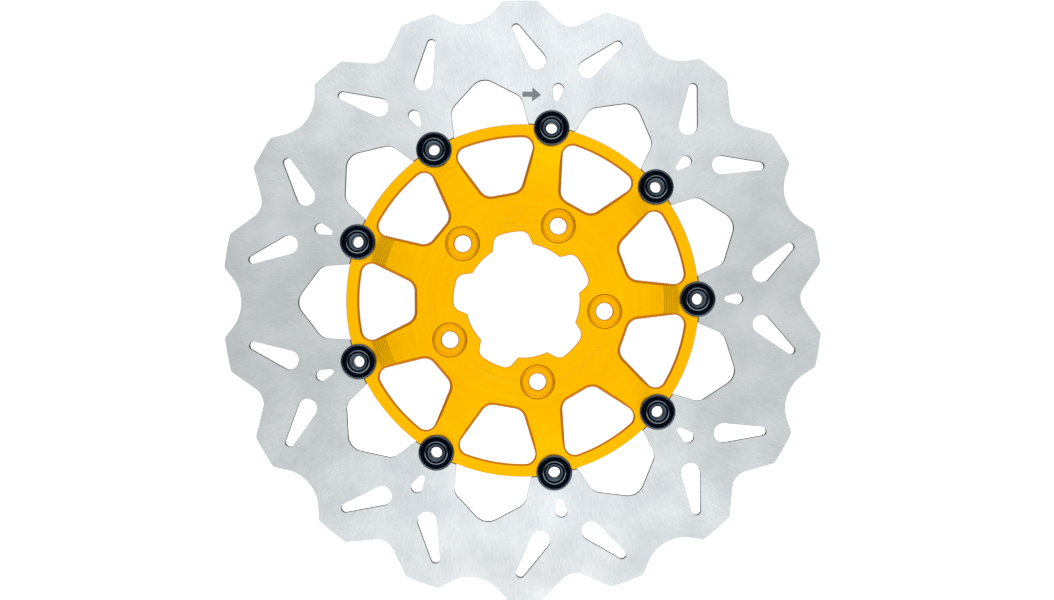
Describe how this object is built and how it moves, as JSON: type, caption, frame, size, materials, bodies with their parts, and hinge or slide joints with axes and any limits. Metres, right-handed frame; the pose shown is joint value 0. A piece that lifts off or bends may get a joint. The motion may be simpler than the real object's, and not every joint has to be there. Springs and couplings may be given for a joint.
{
  "type": "floating brake disc",
  "caption": "Motorcycle front brake disc: a wave-edged steel friction ring that floats on a spoked aluminium carrier by bobbins with spring washers and circlips.",
  "frame": {"origin": "centre of the friction ring, halfway through its thickness, on the wheel axis", "axes": "+Y along the wheel axis, from the outer side of the disc towards the wheel hub; -Y is the visible outer side; +X and +Z lie in the plane of the disc, with a bobbin on +X"},
  "size_m": [0.2978, 0.0125, 0.3],
  "materials": {
    "disc_steel": "stainless steel, ground to a fine cross-hatch of long arcs",
    "carrier_gold": "gold anodised aluminium, finely turned, with bright milled chamfers",
    "bobbin_black": "black anodised aluminium, turned, with a bare ring on the boss",
    "washer_steel": "bright stainless steel sheet",
    "circlip_steel": "phosphated black spring steel"
  },
  "bodies": {
    "carrier": {"carrier": "carrier_gold"},
    "friction_ring": {"friction_ring": "disc_steel"},
    "bobbin_1": {"bobbin_1": "bobbin_black", "wave_washer_1": "washer_steel", "flat_washer_1": "washer_steel", "circlip_1": "circlip_steel"},
    "bobbin_2": {"bobbin_2": "bobbin_black", "wave_washer_2": "washer_steel", "flat_washer_2": "washer_steel", "circlip_2": "circlip_steel"},
    "bobbin_3": {"bobbin_3": "bobbin_black", "wave_washer_3": "washer_steel", "flat_washer_3": "washer_steel", "circlip_3": "circlip_steel"},
    "bobbin_4": {"bobbin_4": "bobbin_black", "wave_washer_4": "washer_steel", "flat_washer_4": "washer_steel", "circlip_4": "circlip_steel"},
    "bobbin_5": {"bobbin_5": "bobbin_black", "wave_washer_5": "washer_steel", "flat_washer_5": "washer_steel", "circlip_5": "circlip_steel"},
    "bobbin_6": {"bobbin_6": "bobbin_black", "wave_washer_6": "washer_steel", "flat_washer_6": "washer_steel", "circlip_6": "circlip_steel"},
    "bobbin_7": {"bobbin_7": "bobbin_black", "wave_washer_7": "washer_steel", "flat_washer_7": "washer_steel", "circlip_7": "circlip_steel"},
    "bobbin_8": {"bobbin_8": "bobbin_black", "wave_washer_8": "washer_steel", "flat_washer_8": "washer_steel", "circlip_8": "circlip_steel"},
    "bobbin_9": {"bobbin_9": "bobbin_black", "wave_washer_9": "washer_steel", "flat_washer_9": "washer_steel", "circlip_9": "circlip_steel"}
  },
  "joints": [
    {"name": "ring_float", "type": "slide", "parent": "carrier", "child": "friction_ring", "axis": [0, 1, 0], "range_m": [-0.0002, 0.0002]},
    {"name": "bobbin_1_spin", "type": "hinge", "parent": "carrier", "child": "bobbin_1", "pos_m": [0.0875, 0, 0], "axis": [0, 1, 0], "continuous": true},
    {"name": "bobbin_2_spin", "type": "hinge", "parent": "carrier", "child": "bobbin_2", "pos_m": [0.06703, 0, 0.05624], "axis": [0, 1, 0], "continuous": true},
    {"name": "bobbin_3_spin", "type": "hinge", "parent": "carrier", "child": "bobbin_3", "pos_m": [0.01519, 0, 0.08617], "axis": [0, 1, 0], "continuous": true},
    {"name": "bobbin_4_spin", "type": "hinge", "parent": "carrier", "child": "bobbin_4", "pos_m": [-0.04375, 0, 0.07578], "axis": [0, 1, 0], "continuous": true},
    {"name": "bobbin_5_spin", "type": "hinge", "parent": "carrier", "child": "bobbin_5", "pos_m": [-0.08222, 0, 0.02993], "axis": [0, 1, 0], "continuous": true},
    {"name": "bobbin_6_spin", "type": "hinge", "parent": "carrier", "child": "bobbin_6", "pos_m": [-0.08222, 0, -0.02993], "axis": [0, 1, 0], "continuous": true},
    {"name": "bobbin_7_spin", "type": "hinge", "parent": "carrier", "child": "bobbin_7", "pos_m": [-0.04375, 0, -0.07578], "axis": [0, 1, 0], "continuous": true},
    {"name": "bobbin_8_spin", "type": "hinge", "parent": "carrier", "child": "bobbin_8", "pos_m": [0.01519, 0, -0.08617], "axis": [0, 1, 0], "continuous": true},
    {"name": "bobbin_9_spin", "type": "hinge", "parent": "carrier", "child": "bobbin_9", "pos_m": [0.06703, 0, -0.05624], "axis": [0, 1, 0], "continuous": true}
  ]
}
